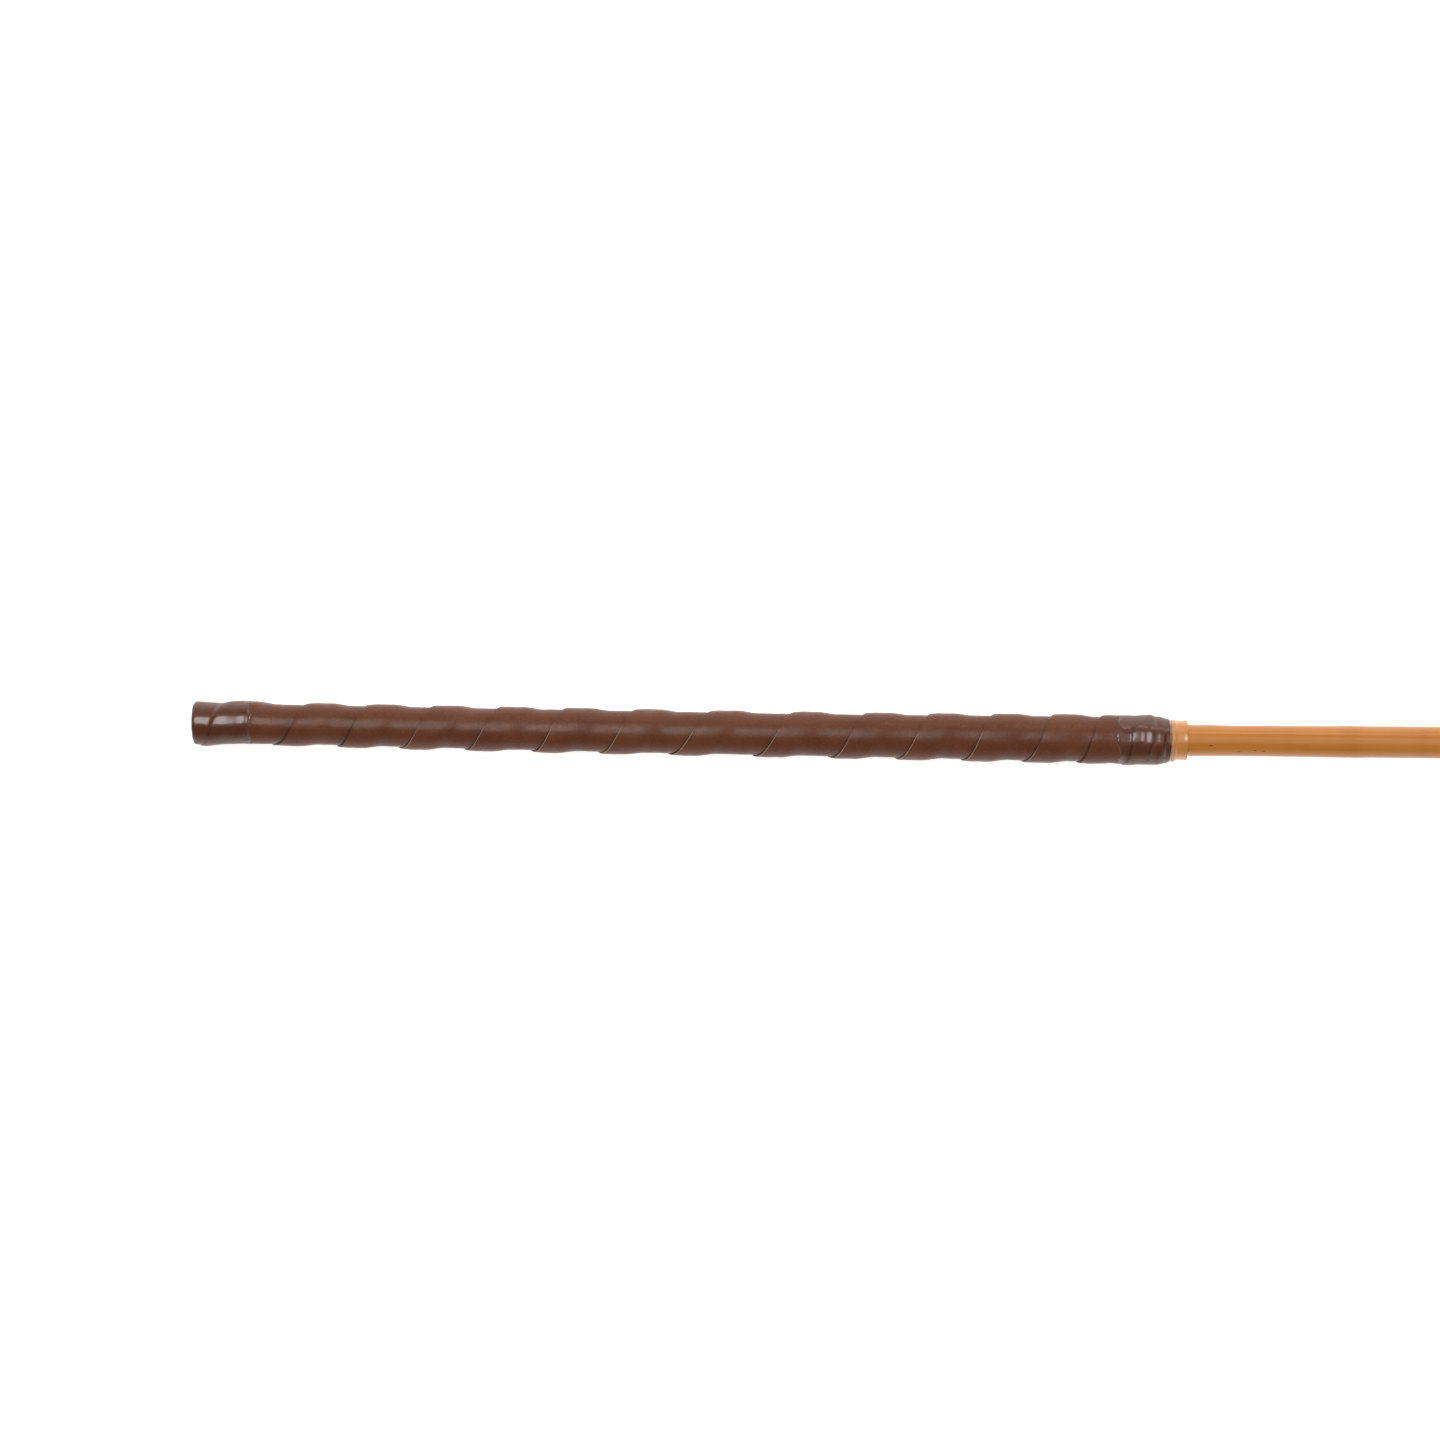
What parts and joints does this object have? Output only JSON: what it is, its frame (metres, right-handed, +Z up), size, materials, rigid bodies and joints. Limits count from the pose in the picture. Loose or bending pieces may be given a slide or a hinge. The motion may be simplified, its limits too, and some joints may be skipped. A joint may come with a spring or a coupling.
{
  "type": "riding crop",
  "caption": "Straight rattan riding crop with a spirally lapped brown leather grip, clear sleeves over the grip's two ends and a folded leather keeper that flexes at the tip.",
  "frame": {"origin": "centre of the crop's footprint on the surface it lies on", "axes": "+X along the crop from the butt to the keeper, +Z up out of the surface, +Y to the left of +X; the keeper lies flat"},
  "size_m": [0.7002, 0.0288, 0.0154],
  "materials": {
    "cane": "varnished rattan",
    "grip_leather": "dark brown grained leather",
    "keeper_leather": "dark brown bridle leather",
    "underlay_felt": "wound felt strip",
    "clear_sleeve": "clear gloss shrink film",
    "adhesive": "cloudy hot-melt adhesive",
    "thread": "waxed brown thread",
    "seam_thread": "waxed tan thread"
  },
  "bodies": {
    "shaft": {"cane": "cane", "grip_underlay": "underlay_felt", "grip_strap": "grip_leather", "butt_disc": "keeper_leather", "butt_sleeve": "clear_sleeve", "collar_sleeve": "clear_sleeve", "tip_sleeve": "clear_sleeve", "butt_glue_bead": "adhesive", "collar_glue_bead": "adhesive", "collar_glue_fillet": "adhesive", "tip_glue_fillet": "adhesive", "tip_glue_fill": "adhesive", "keeper_tail_upper": "keeper_leather", "keeper_tail_lower": "keeper_leather", "tip_whipping": "thread"},
    "keeper": {"keeper_flap": "keeper_leather", "keeper_seam_left": "seam_thread", "keeper_seam_right": "seam_thread", "keeper_seam_cross": "seam_thread"}
  },
  "joints": [
    {"name": "keeper_flex", "type": "hinge", "parent": "shaft", "child": "keeper", "pos_m": [0.2856, -0.00061, 0.00772], "axis": [-0.0149, 0.9999, 0], "range_deg": [-70, 70], "stiffness_Nm_per_rad": 0.07}
  ]
}
